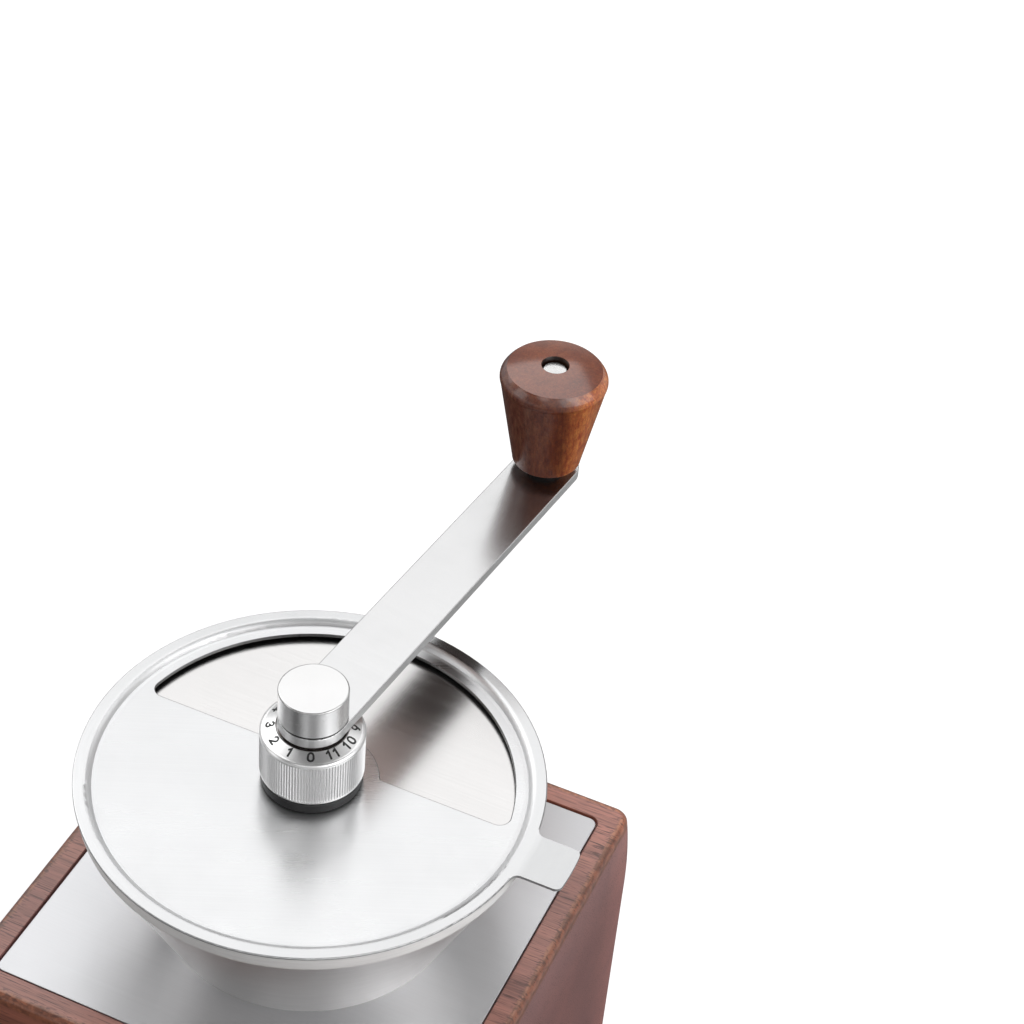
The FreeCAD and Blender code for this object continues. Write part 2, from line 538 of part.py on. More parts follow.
# each half turn is an arc in a plane that leans the other way from the one before it
rise_half = (spring_z1 - spring_z0 - 2 * WIRE_R - 0.1) / half_turns
arc_r = math.hypot(COIL_R, rise_half / 2)
coil = []
for i in range(half_turns):
    s = 1 if i % 2 == 0 else -1
    z = spring_z0 + WIRE_R + 0.05 + i * rise_half
    coil.append(Part.Arc(V(s * COIL_R, 0, z), V(0, s * arc_r, z + rise_half / 2), V(-s * COIL_R, 0, z + rise_half)).toShape())
section = Part.Wire([Part.makeCircle(WIRE_R, V(COIL_R, 0, spring_z0 + WIRE_R + 0.05), V(0, 1, 0))])
spring = Part.Wire(coil).makePipeShell([section], True, False)
save("shaft_spring", spring)
save("spring_washer", tube(SHAFT_LOW_R, 7.2, 61.5, spring_z0))
clip = tube(3.0, 6.0, 60.6, 61.5).cut(box(-2.2, 2.2, -10, 0, 60, 62))
save("retaining_clip", one(clip))

# ---------------------------------------------------------------- crank arm, cap nut and knob
arm = box(-ARM_HALF, ARM_HALF, 0, ARM_LENGTH + ARM_HALF, ARM_Z0, ARM_Z1)
arm = arm.makeFillet(ARM_CORNER, [e for e in arm.Edges if e.BoundBox.ZMax - e.BoundBox.ZMin > ARM_T * 0.9 and e.BoundBox.YMin > ARM_LENGTH])
arm = one(arm.fuse(cyl(ARM_HALF, ARM_Z0, ARM_Z1)))
arm = arm.makeFillet(0.3, edges_at(arm, ARM_Z1) + edges_at(arm, ARM_Z0))
sq = box(-SQUARE / 2, SQUARE / 2, -SQUARE / 2, SQUARE / 2, ARM_Z0 - 1, ARM_Z1 + 1).common(cyl(SHAFT_R - 0.1, ARM_Z0 - 1, ARM_Z1 + 1))
arm = arm.cut(sq).cut(cyl(SPINDLE_R, ARM_Z0 - 1, ARM_Z1 + 1, 0, ARM_LENGTH))
save("crank_arm", turned(one(arm), -ARM_TURN))

cap = rev([
    (0, stud_z1 + 0.3), (0, CAP_Z1), (CAP_R - 0.45, CAP_Z1), (CAP_R - 0.13, CAP_Z1 - 0.13, CAP_R, CAP_Z1 - 0.45),
    (CAP_R, ARM_Z1 + 0.7), (CAP_R - 0.35, ARM_Z1 + 0.35), (CAP_R - 0.35, ARM_Z1), (3.0, ARM_Z1), (3.0, stud_z1 + 0.3)])
save("cap_nut", cap)

kx, ky = ARM_LENGTH * math.sin(math.radians(ARM_TURN)), ARM_LENGTH * math.cos(math.radians(ARM_TURN))
head_z1 = KNOB_Z1 - 1.5
head_z0 = head_z1 - 2.0
seat_z = head_z0 - 0.2
knob = rev([
    (SPINDLE_R + 0.06, KNOB_Z0), (KNOB_BASE_R - 0.9, KNOB_Z0), (KNOB_BASE_R - 0.2, KNOB_Z0 + 0.25, KNOB_BASE_R + 0.05, KNOB_Z0 + 0.9),
    (KNOB_MAX_R - 0.25, KNOB_MAX_Z - 1.1), (KNOB_MAX_R, KNOB_MAX_Z + 0.1, KNOB_MAX_R - 0.35, KNOB_MAX_Z + 1.25),
    (KNOB_MAX_R - 0.95, KNOB_MAX_Z + 2.15, KNOB_TOP_R, KNOB_EDGE_Z),
    (8.2, KNOB_EDGE_Z + 0.88, KNOB_HOLE_R + 0.2, KNOB_Z1), (KNOB_HOLE_R, KNOB_Z1 - 0.2), (KNOB_HOLE_R, seat_z), (SPINDLE_R + 0.06, seat_z)])
knob.translate(V(kx, ky, 0))
save("crank_knob", knob)

screw = rev([
    (0, ARM_Z0), (SPINDLE_R, ARM_Z0), (SPINDLE_R, head_z0), (HEAD_R, head_z0), (HEAD_R, head_z1 - 0.25), (HEAD_R - 0.25, head_z1), (0, head_z1)])
screw.translate(V(kx, ky, 0))
save("knob_screw", screw)
spacer = tube(SPINDLE_R, 4.6, ARM_Z1, KNOB_Z0 - 0.3, kx, ky)
save("knob_spacer", spacer)
print("knob axis", kx, ky)
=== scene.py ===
import math

import bmesh
import bpy
from mathutils import Matrix, Vector


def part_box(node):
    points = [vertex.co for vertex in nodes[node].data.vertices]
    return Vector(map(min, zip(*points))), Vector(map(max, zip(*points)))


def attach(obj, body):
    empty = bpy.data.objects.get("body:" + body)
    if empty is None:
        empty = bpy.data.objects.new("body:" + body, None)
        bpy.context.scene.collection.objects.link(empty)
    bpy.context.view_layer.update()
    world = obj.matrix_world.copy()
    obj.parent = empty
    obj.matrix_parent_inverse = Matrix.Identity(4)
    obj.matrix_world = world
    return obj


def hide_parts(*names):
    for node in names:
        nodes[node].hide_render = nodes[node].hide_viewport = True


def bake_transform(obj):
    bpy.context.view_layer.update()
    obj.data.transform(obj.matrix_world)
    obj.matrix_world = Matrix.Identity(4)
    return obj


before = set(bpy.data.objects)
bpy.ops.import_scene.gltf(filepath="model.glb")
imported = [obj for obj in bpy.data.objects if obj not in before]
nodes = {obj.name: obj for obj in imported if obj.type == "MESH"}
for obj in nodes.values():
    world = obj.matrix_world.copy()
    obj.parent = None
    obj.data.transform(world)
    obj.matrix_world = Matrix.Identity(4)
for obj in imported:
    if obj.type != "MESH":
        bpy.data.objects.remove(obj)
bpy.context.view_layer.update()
scene = bpy.context.scene

MM = 0.001

# ------------------------------------------------------------------ smooth shading
# every CAD face has vertices of its own, so smooth shading keeps the edges between faces crisp
for o in nodes.values():
    o.data.polygons.foreach_set("use_smooth", [True] * len(o.data.polygons))
    o.data.update()


# ------------------------------------------------------------------ node helpers
class Mat:
    """A material with a small set of helpers for wiring its nodes."""

    def __init__(self, name):
        self.m = bpy.data.materials.new(name)
        self.m.use_nodes = True
        self.nt = self.m.node_tree
        self.nt.nodes.clear()
        self.out = self.nt.nodes.new("ShaderNodeOutputMaterial")
        self.b = self.nt.nodes.new("ShaderNodeBsdfPrincipled")
        self.nt.links.new(self.b.outputs[0], self.out.inputs["Surface"])
        self._obj = None

    def new(self, kind, **props):
        n = self.nt.nodes.new(kind)
        for k, v in props.items():
            setattr(n, k, v)
        return n

    def put(self, socket, value):
        if isinstance(value, bpy.types.NodeSocket):
            self.nt.links.new(value, socket)
        else:
            socket.default_value = value

    def set(self, name, value):
        self.put(self.b.inputs[name], value)

    def obj(self):
        if self._obj is None:
            self._obj = self.new("ShaderNodeTexCoord").outputs["Object"]
        return self._obj

    def mapping(self, vec, scale=(1, 1, 1), rot=(0, 0, 0), loc=(0, 0, 0)):
        n = self.new("ShaderNodeMapping")
        self.put(n.inputs["Vector"], vec)
        n.inputs["Scale"].default_value = scale
        n.inputs["Rotation"].default_value = rot
        n.inputs["Location"].default_value = loc
        return n.outputs[0]

    def noise(self, vec, scale=1.0, detail=2.0, rough=0.5, distortion=0.0):
        n = self.new("ShaderNodeTexNoise")
        self.put(n.inputs["Vector"], vec)
        n.inputs["Scale"].default_value = scale
        n.inputs["Detail"].default_value = detail
        n.inputs["Roughness"].default_value = rough
        n.inputs["Distortion"].default_value = distortion
        return n.outputs[0]

    def math(self, op, a, b=None, c=None, clamp=False):
        n = self.new("ShaderNodeMath", operation=op, use_clamp=clamp)
        self.put(n.inputs[0], a)
        if b is not None:
            self.put(n.inputs[1], b)
        if c is not None:
            self.put(n.inputs[2], c)
        return n.outputs[0]

    def vmath(self, op, a, b=None, out=0):
        n = self.new("ShaderNodeVectorMath", operation=op)
        self.put(n.inputs[0], a)
        if b is not None:
            self.put(n.inputs[1], b)
        return n.outputs[out]

    def range(self, v, a, b, c, d, smooth=False):
        n = self.new("ShaderNodeMapRange")
        n.interpolation_type = "SMOOTHSTEP" if smooth else "LINEAR"
        n.clamp = True
        self.put(n.inputs["Value"], v)
        for k, x in (("From Min", a), ("From Max", b), ("To Min", c), ("To Max", d)):
            n.inputs[k].default_value = x
        return n.outputs[0]

    def mix(self, fac, a, b, blend="MIX"):
        n = self.new("ShaderNodeMix", data_type="RGBA", blend_type=blend)
        n.clamp_factor = True
        self.put(n.inputs[0], fac)
        self.put(n.inputs[6], a)
        self.put(n.inputs[7], b)
        return n.outputs[2]

    def blend(self, fac, a, b):
        n = self.new("ShaderNodeMix", data_type="FLOAT")
        self.put(n.inputs[0], fac)
        self.put(n.inputs[2], a)
        self.put(n.inputs[3], b)
        return n.outputs[0]

    def turn_to(self, fac, a, b):
        n = self.new("ShaderNodeMix", data_type="VECTOR")
        self.put(n.inputs[0], fac)
        self.put(n.inputs[4], a)
        self.put(n.inputs[5], b)
        return n.outputs[1]

    def ramp(self, fac, stops, interp="LINEAR"):
        n = self.new("ShaderNodeValToRGB")
        r = n.color_ramp
        r.interpolation = interp
        while len(r.elements) < len(stops):
            r.elements.new(0.5)
        for e, (p, c) in zip(r.elements, stops):
            e.position = p
            e.color = (*c, 1.0)
        self.put(n.inputs[0], fac)
        return n.outputs[0]

    def xyz(self, vec):
        n = self.new("ShaderNodeSeparateXYZ")
        self.put(n.inputs[0], vec)
        return n.outputs

    def join(self, x, y, z):
        n = self.new("ShaderNodeCombineXYZ")
        for s, v in zip(n.inputs, (x, y, z)):
            self.put(s, v)
        return n.outputs[0]

    def bump(self, height, strength, distance, normal=None):
        n = self.new("ShaderNodeBump")
        n.inputs["Strength"].default_value = strength
        n.inputs["Distance"].default_value = distance
        self.put(n.inputs["Height"], height)
        if normal is not None:
            self.put(n.inputs["Normal"], normal)
        return n.outputs[0]

    def normal_xyz(self):
        """The surface's own direction in the piece's frame."""
        g = self.new("ShaderNodeNewGeometry")
        t = self.new("ShaderNodeVectorTransform", vector_type="NORMAL", convert_from="WORLD", convert_to="OBJECT")
        self.put(t.inputs[0], g.outputs["Normal"])
        return self.xyz(t.outputs[0])

    def fixed_direction(self, deg):
        """A direction in the piece's own XY plane, as a world vector that turns with the piece."""
        t = self.new("ShaderNodeVectorTransform", vector_type="VECTOR", convert_from="OBJECT", convert_to="WORLD")
        t.inputs[0].default_value = (math.cos(math.radians(deg)), math.sin(math.radians(deg)), 0.0)
        return t.outputs[0]

    def round_direction(self):
        t = self.new("ShaderNodeTangent", direction_type="RADIAL", axis="Z")
        return t.outputs[0]


def shade(c, k):
    return tuple(min(1.0, x * k) for x in c)


def rgba(c):
    return (*c, 1.0)


# ------------------------------------------------------------------ metals
def linear_streaks(m, deg, across=2600.0, along=26.0, seed=0.0):
    """Fine parallel brush lines at an angle in the XY plane: a value about 0.5."""
    v = m.mapping(m.obj(), rot=(0, 0, -math.radians(deg)))
    fine = m.noise(m.mapping(v, scale=(along, across, across), loc=(seed, 0, 0)), 1.0, 3.0, 0.65)
    wide = m.noise(m.mapping(v, scale=(along * 0.35, across * 0.16, across * 0.16), loc=(seed + 3.1, 0, 0)), 1.0, 2.0, 0.6)
    return m.math("ADD", m.math("MULTIPLY", fine, 0.65), m.math("MULTIPLY", wide, 0.35))


def round_streaks(m, up=2600.0, out=2600.0, around=5.0, seed=0.0):
    """Fine lines running round the Z axis through the piece's frame: a value about 0.5."""
    x, y, z = m.xyz(m.obj())
    flat = m.join(x, y, 0.0)
    r = m.vmath("LENGTH", flat, out="Value")
    d = m.vmath("NORMALIZE", flat)
    dx, dy, _ = m.xyz(d)
    level = m.math("ADD", m.math("MULTIPLY", r, out), m.math("MULTIPLY", z, up))
    fine = m.noise(m.join(m.math("MULTIPLY", dx, around), m.math("MULTIPLY", dy, around), level), 1.0, 3.0, 0.65)
    wide = m.noise(m.join(m.math("MULTIPLY", dx, around * 0.5), m.math("MULTIPLY", dy, around * 0.5), m.math("MULTIPLY", level, 0.15)), 1.0, 2.0, 0.6)
    return m.math("ADD", m.math("MULTIPLY", fine, 0.65), m.math("MULTIPLY", wide, 0.35))


def finish_metal(m, streak, color, rough, spread, tangent, aniso, bump=0.12, depth=0.00002, tint=0.07, marks=0.5, under=None, gloss=None, tone=None, relief=None):
    """Colour, roughness and relief of a brushed surface from its streaks, with faint handling marks.
    under is the colour given to faces that point down, gloss lowers the roughness, tone scales the colour and carries
    the callers' painted light and shade, relief scales the depth of the brush lines."""
    cloud = m.noise(m.obj(), 38.0, 4.0, 0.6)
    smudge = m.range(m.noise(m.mapping(m.obj(), loc=(0.7, 0.2, 0.4)), 75.0, 5.0, 0.62, 0.4), 0.52, 0.78, 0.0, 1.0, True)
    low, high = rgba(shade(color, 1 - tint)), rgba(shade(color, 1 + tint * 0.7))
    base = m.mix(m.range(streak, 0.3, 0.7, 0.0, 1.0), low, high)
    base = m.mix(m.range(cloud, 0.3, 0.75, 0.0, 0.25), base, rgba(shade(color, 0.93)))
    if under is not None:
        nx, ny, nz = m.normal_xyz()
        scale = m.mix(m.range(cloud, 0.3, 0.7, 0.0, 1.0), rgba(shade(under, 0.85)), rgba(shade(under, 1.1)))
        base = m.mix(m.range(nz, -0.85, -0.6, 1.0, 0.0, True), base, scale)
    if tone is not None:
        base = m.vmath("MULTIPLY", base, m.join(tone, tone, tone))
    m.set("Base Color", base)
    m.set("Metallic", 1.0)
    r = m.range(streak, 0.28, 0.72, rough - spread, rough + spread)
    r = m.math("ADD", r, m.math("MULTIPLY", smudge, 0.05 * marks))
    r = m.math("ADD", r, m.range(cloud, 0.3, 0.7, -0.015, 0.015))
    if gloss is not None:
        r = m.math("SUBTRACT", r, gloss)
    m.set("Roughness", r)
    m.set("Anisotropic", aniso)
    if tangent is not None:
        # highlights spread across the brush lines
        m.set("Anisotropic Rotation", 0.25)
        m.set("Tangent", tangent)
    m.set("Normal", m.bump(streak if relief is None else m.math("MULTIPLY", streak, relief), bump, depth))
    return m.m


def brushed_lid():
    m = Mat("brushed_lid")
    x, y, z = m.xyz(m.obj())
    r = m.vmath("LENGTH", m.join(x, y, 0.0), out="Value")
    rim = m.range(r, 0.0541, 0.0546, 0.0, 1.0, True)
    lines = linear_streaks(m, 25.0, 3000.0, 11.0)
    rounds = round_streaks(m, 2600.0, 2600.0, 6.0)
    streak = m.blend(rim, lines, rounds)
    flat = m.range(r, 0.0557, 0.0564, 0.0, 1.0, True)
    nx, ny, nz = m.normal_xyz()
    # painted shade: the tilted faces of the opening's cut edge are darkened, standing for the shadow in the gap beneath
    # it
    cut = m.math("MULTIPLY", m.range(nz, 0.84, 0.975, 0.72, 0.0, True), m.range(r, 0.0530, 0.0534, 1.0, 0.0))
    # painted highlight: the rolled step between the flange and the disc is painted paler to soften its shading
    roll = m.math("MULTIPLY", m.range(r, 0.0532, 0.0537, 0.0, 1.0), m.range(r, 0.0553, 0.0559, 1.0, 0.0))
    # tone: the flange 15% darker, painted shade on the cut edge, the painted highlight on the rolled step, the tab 10%
    # darker
    tone = m.math("ADD", m.math("SUBTRACT", m.range(flat, 0.0, 1.0, 1.0, 0.85), cut), m.math("SUBTRACT", m.math("MULTIPLY", roll, 0.24), m.range(x, 0.0585, 0.0605, 0.0, 0.10)))
    # the deburred outer edge is duller than the flange
    burr = m.math("MULTIPLY", m.range(nz, 0.90, 0.99, 0.26, 0.0, True), m.range(r, 0.0584, 0.0586, 0.0, 1.0))
    tangent = m.turn_to(rim, m.fixed_direction(25.0), m.round_direction())
    return finish_metal(m, streak, (0.668, 0.672, 0.678), 0.285, 0.024, tangent, 0.65, 0.020, tint=0.045, under=(0.30, 0.285, 0.28), gloss=m.math("SUBTRACT", m.math("SUBTRACT", m.math("MULTIPLY", flat, 0.06), burr), m.math("MULTIPLY", roll, 0.13)), tone=tone, relief=m.range(rim, 0.0, 1.0, 1.0, 0.08))


def brushed_plate(name, deg, color, rough, seed, under=None, aniso=0.45, bump=0.10, tint=0.07, spread=0.04, edge=0.0):
    """edge is the extra roughness of the cut edges, which are also painted lighter as a painted highlight."""
    m = Mat(name)
    gloss = tone = None
    if edge:
        nx, ny, nz = m.normal_xyz()
        cut = m.range(m.math("ABSOLUTE", nz), 0.3, 0.75, 1.0, 0.0, True)
        gloss = m.math("MULTIPLY", cut, -edge)
        # painted highlight: the cut edges' colour raised by up to 22%
        tone = m.range(cut, 0.0, 1.0, 1.0, 1.22)
    return finish_metal(m, linear_streaks(m, deg, 2400.0, 22.0, seed), color, rough, spread, m.fixed_direction(deg), aniso, bump, tint=tint, under=under, gloss=gloss, tone=tone)


def spun(name, color, rough, aniso=0.5, up=2500.0, out=1500.0, bump=0.10, band=None):
    """band is the height above which the surface is brushed duller and painted paler, a painted highlight on the
    hopper's rim band.
    """
    m = Mat(name)
    gloss = tone = None
    if band is not None:
        x, y, z = m.xyz(m.obj())
        upper = m.range(z, band - 0.0003, band + 0.0003, 0.0, 1.0, True)
        gloss = m.math("MULTIPLY", upper, -0.34)
        # painted highlight: the band's colour raised by 14%
        tone = m.range(upper, 0.0, 1.0, 1.0, 1.14)
    return finish_metal(m, round_streaks(m, up, out, 6.0), color, rough, 0.04, m.round_direction(), aniso, bump, gloss=gloss, tone=tone)


def turned(name, color, rough, up=5200.0, out=5200.0, bump=0.14, aniso=0.35):
    m = Mat(name)
    return finish_metal(m, round_streaks(m, up, out, 4.0), color, rough, 0.05, m.round_direction(), aniso, bump, 0.000012, 0.08)


def satin(name, color, rough, shadow_line_z=None):
    """Fine blasted steel with a light turned grain; the last argument is the height below which the colour is darkened
    as a painted shadow line.
    """
    m = Mat(name)
    tone = None
    if shadow_line_z is not None:
        x, y, z = m.xyz(m.obj())
        # painted shadow: below that height the colour falls to a tenth
        tone = m.range(z, shadow_line_z - 0.00006, shadow_line_z + 0.00006, 0.10, 1.0, True)
    grain = m.noise(m.obj(), 4200.0, 2.0, 0.6)
    rounds = round_streaks(m, 5200.0, 5200.0, 4.0)
    mixed = m.math("ADD", m.math("MULTIPLY", grain, 0.55), m.math("MULTIPLY", rounds, 0.45))
    return finish_metal(m, mixed, color, rough, 0.04, m.round_direction(), 0.2, 0.10, 0.000012, 0.05, tone=tone)


def plated(name, color, rough, grain=1500.0, tint=0.10):
    """Small hardware: plated, cast or ground, with a mottled grain and darker patches at random."""
    m = Mat(name)
    g = m.noise(m.obj(), grain, 4.0, 0.6)
    c = m.noise(m.obj(), 160.0, 3.0, 0.55)
    low, high = rgba(shade(color, 1 - tint)), rgba(shade(color, 1 + tint))
    base = m.mix(m.range(g, 0.3, 0.7, 0.0, 1.0), low, high)
    base = m.mix(m.range(c, 0.45, 0.75, 0.0, 0.35), base, rgba(shade(color, 0.8)))
    m.set("Base Color", base)
    m.set("Metallic", 1.0)
    m.set("Roughness", m.range(g, 0.25, 0.75, rough - 0.07, rough + 0.07))
    m.set("Normal", m.bump(g, 0.15, 0.00002))
    return m.m


# ------------------------------------------------------------------ wood
def wood(name, turn, deep, mid, warm, rough, coat, coat_rough, seed=0.0, pore_dark=0.45, edge=None, pore_len=130.0, spec=0.2, coat_ior=1.6, streak=None, pore_wide=2300.0, pore_from=0.545, line=0.55, speck=0.0, bore=None, top=None, end_grain_and_sheen=None, mottle=0.0, painted_sheen=None, side_coat=None):
    """Dark open-grained wood. turn brings the fibres' direction onto X; top is painted light, scaling the colour of
    faces that point up lighter and greyer as if lit from above with a sheen; side_coat is the lacquer left on faces
    that don't.
    """
    m = Mat(name)
    v = m.mapping(m.obj(), rot=turn, loc=(seed, seed * 0.37, seed * 0.61))
    warp = m.noise(m.mapping(v, scale=(9, 30, 30)), 1.0, 2.0, 0.5)
    bent = m.vmath("ADD", v, m.join(0.0, m.math("MULTIPLY", warp, 0.004), m.math("MULTIPLY", warp, -0.003)))
    bands = m.noise(m.mapping(bent, scale=(4.5, 62, 62)), 1.0, 4.0, 0.55, 0.3)
    lines = m.noise(m.mapping(bent, scale=(10, 330, 330)), 1.0, 4.0, 0.6)
    fibre = m.noise(m.mapping(bent, scale=(45, 2100, 2100)), 1.0, 3.0, 0.65)
    pores = m.noise(m.mapping(bent, scale=(pore_len, pore_wide, pore_wide), loc=(1.3, 0.7, 2.1)), 1.0, 2.0, 0.5)
    patch = m.noise(m.mapping(bent, scale=(25, 110, 110), loc=(0.3, 0.9, 0.2)), 1.0, 2.0, 0.5)
    base = m.ramp(m.range(bands, 0.28, 0.74, 0.0, 1.0), [(0.0, deep), (0.42, mid), (0.78, warm), (1.0, shade(warm, 1.12))])
    base = m.mix(m.range(lines, 0.42, 0.72, 0.0, line), base, rgba(shade(deep, 0.78)))
    base = m.mix(m.range(fibre, 0.35, 0.70, 0.0, 0.45), base, rgba(shade(warm, 1.2)))
    if end_grain_and_sheen is not None:
        # end grain takes the stain evenly, and the even pale plum colour given to it also paints in the greyish sheen
        # of those sides
        cx, cy, cz = m.normal_xyz()
        base = m.mix(m.range(m.math("ABSOLUTE", cx), 0.6, 0.9, 0.0, 0.7, True), base, rgba(end_grain_and_sheen))
    pit = m.math("MULTIPLY", m.range(pores, pore_from, pore_from + 0.085, 0.0, 1.0, True), m.range(patch, 0.32, 0.66, 0.4, 0.95))
    base = m.mix(m.math("MULTIPLY", pit, 0.9), base, rgba(shade(deep, pore_dark)))
    if edge is not None:
        nx, ny, nz = m.normal_xyz()
        ox, oy, oz = m.xyz(m.obj())
        out = m.math("MAXIMUM", m.math("ABSOLUTE", ox), m.math("ABSOLUTE", oy))
        wander = m.math("MULTIPLY", m.math("SUBTRACT", m.noise(m.obj(), 420.0, 3.0, 0.6), 0.5), 0.0012)
        # the worn strip covers the rounded edge and a little of the faces either side; beside the wear, its darker
        # colour is painted shade on the round-over
        above = m.range(m.math("ADD", out, wander), RIM_OUT - 0.0022, RIM_OUT - 0.0015, 0.0, 1.0, True)
        beside = m.range(m.math("ADD", oz, wander), RIM_TOP - 0.0040, RIM_TOP - 0.0024, 0.0, 1.0, True)
        round_edge = m.math("MULTIPLY", above, beside)
        worn = m.range(m.noise(m.mapping(m.obj(), scale=(1, 0.6, 1)), 640.0, 3.0, 0.6), 0.36, 0.64, 0.0, 1.0, True)
        base = m.mix(m.math("MULTIPLY", round_edge, 0.88), base, m.mix(worn, rgba(shade(edge, 0.5)), rgba(edge)))
        nick = m.range(m.noise(m.mapping(m.obj(), scale=(420, 1500, 1500), loc=(0.5, 0.1, 0.8)), 1.0, 2.0, 0.5), 0.53, 0.63, 0.0, 1.0, True)
        border = m.math("MULTIPLY", m.range(m.math("ADD", out, wander), RIM_OUT - 0.0030, RIM_OUT - 0.0021, 0.0, 1.0, True), m.range(nz, 0.55, 0.85, 0.25, 1.0, True))
        border = m.math("MULTIPLY", border, beside)
        base = m.mix(m.math("MULTIPLY", m.math("MULTIPLY", border, nick), 0.7), base, rgba(shade(deep, 0.7)))
    if top is not None:
        # painted light and sheen: faces that point up are scaled lighter and greyer
        tx, ty, tz = m.normal_xyz()
        base = m.vmath("MULTIPLY", base, m.join(*[m.range(tz, 0.9, 0.99, 1.0, t, True) for t in top]))
    if speck:
        s = m.range(m.noise(m.obj(), 2300.0, 2.0, 0.5), 0.33, 0.67, 1.0 - speck, 1.0 + speck)
        base = m.vmath("MULTIPLY", base, m.join(s, s, s))
    if mottle:
        # the figure of the turned wood, short flecks along the fibres
        f = m.noise(m.mapping(bent, scale=(330, 880, 880), loc=(0.8, 0.2, 0.5)), 1.0, 3.0, 0.55)
        gx, gy, gz = m.normal_xyz()
        g = m.blend(m.range(gz, 0.6, 0.95, 0.0, 0.55, True), m.range(f, 0.33, 0.67, 1.0 - mottle, 1.0 + mottle), 1.0)
        base = m.vmath("MULTIPLY", base, m.join(g, m.math("MULTIPLY", g, g), m.math("MULTIPLY", g, g)))
    if streak is not None:
        # painted light: the colour is scaled across a line through the piece, darker on one side and paler and more
        # orange on the other as if lit from that side
        centre, along, lo, hi, dim, lift, top_light_gain = streak
        across = m.vmath("DOT_PRODUCT", m.vmath("SUBTRACT", m.obj(), centre), along, out="Value")
        across = m.math("ADD", across, m.math("MULTIPLY", m.math("SUBTRACT", bands, 0.5), (hi - lo) * 0.35))
        gain = [m.range(across, lo, hi, a, b, True) for a, b in zip(dim, lift)]
        if painted_sheen is not None:
            # painted sheen: the dark side is greyed as if it showed a soft reflection
            h0, h1, tint = painted_sheen
            gain = [m.math("MULTIPLY", g, m.range(across, h0, h1, h, 1.0, True)) for g, h in zip(gain, tint)]
        if top_light_gain is not None:
            # painted light: faces that point up get a gain of their own, as if lit from above
            ex, ey, ez = m.normal_xyz()
            up = m.range(ez, 0.55, 0.9, 0.0, 1.0, True)
            gain = [m.blend(up, g, e) for g, e in zip(gain, top_light_gain)]
        base = m.vmath("MULTIPLY", base, m.join(*gain))
    lacquer = coat
    if side_coat is not None:
        lx, ly, lz = m.normal_xyz()
        lacquer = m.range(lz, 0.25, 0.95, side_coat, coat, True)
    if bore is not None:
        # painted shade: the wall of a hole is darkened and left without lacquer, standing for the shade inside it
        cx, cy, radius = bore
        bx, by, bz = m.xyz(m.vmath("SUBTRACT", m.obj(), (cx, cy, 0.0)))
        away = m.vmath("LENGTH", m.join(bx, by, 0.0), out="Value")
        b = m.range(away, radius, radius + 0.00025, 0.08, 1.0, True)
        base = m.vmath("MULTIPLY", base, m.join(b, b, b))
        lacquer = m.math("MULTIPLY", lacquer, m.range(away, radius, radius + 0.00025, 0.0, 1.0, True))
    m.set("Base Color", base)
    m.set("Roughness", m.math("ADD", m.range(fibre, 0.3, 0.7, rough - 0.05, rough + 0.06), m.math("MULTIPLY", pit, 0.12)))
    m.set("Specular IOR Level", spec)
    m.set("Coat Weight", lacquer)
    m.set("Coat Roughness", coat_rough)
    m.set("Coat IOR", coat_ior)
    height = m.math("SUBTRACT", m.math("MULTIPLY", fibre, 0.35), pit)
    m.set("Normal", m.bump(height, 0.22, 0.00006))
    return m.m


def plain_wood(name, turn, pale, tan, seed=0.0):
    """Sanded pale wood for the inside pieces."""
    m = Mat(name)
    v = m.mapping(m.obj(), rot=turn, loc=(seed, seed * 0.4, seed * 0.7))
    bands = m.noise(m.mapping(v, scale=(4, 60, 60)), 1.0, 4.0, 0.55, 0.4)
    fibre = m.noise(m.mapping(v, scale=(30, 1500, 1500)), 1.0, 3.0, 0.6)
    fleck = m.range(m.noise(m.mapping(v, scale=(150, 900, 900), loc=(2.0, 0.4, 1.0)), 1.0, 2.0, 0.5), 0.6, 0.7, 0.0, 1.0, True)
    base = m.ramp(m.range(bands, 0.3, 0.7, 0.0, 1.0), [(0.0, tan), (0.5, pale), (1.0, shade(pale, 1.08))])
    base = m.mix(m.range(fibre, 0.35, 0.7, 0.0, 0.35), base, rgba(shade(tan, 0.85)))
    base = m.mix(m.math("MULTIPLY", fleck, 0.5), base, rgba(shade(tan, 0.6)))
    m.set("Base Color", base)
    m.set("Roughness", m.range(fibre, 0.3, 0.7, 0.5, 0.64))
    m.set("Normal", m.bump(fibre, 0.2, 0.00005))
    return m.m


# ------------------------------------------------------------------ plastics and rubber
def moulded(name, color, rough, grain, depth, spec=0.5):
    m = Mat(name)
    g = m.noise(m.obj(), grain, 3.0, 0.6)
    c = m.noise(m.obj(), 90.0, 3.0, 0.6)
    m.set("Base Color", m.mix(m.range(c, 0.3, 0.7, 0.0, 1.0), rgba(shade(color, 0.8)), rgba(shade(color, 1.3))))
    m.set("Roughness", m.range(g, 0.3, 0.7, rough - 0.08, rough + 0.08))
    m.set("Specular IOR Level", spec)
    m.set("Normal", m.bump(g, 0.25, depth))
    return m.m


# ------------------------------------------------------------------ the materials
WALNUT = dict(deep=(0.110, 0.037, 0.026), mid=(0.240, 0.082, 0.056), warm=(0.350, 0.122, 0.078))
KNOBWOOD = dict(deep=(0.050, 0.0105, 0.0045), mid=(0.105, 0.0235, 0.0085), warm=(0.155, 0.040, 0.014))
ARM_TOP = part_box("crank_arm")[1].z
RIM_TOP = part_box("wood_body")[1].z
RIM_OUT = 0.0653
ALONG_X = (0.0, 0.0, 0.0)
ALONG_Y = (0.0, 0.0, math.radians(90))
ALONG_Z = (0.0, math.radians(90), 0.0)

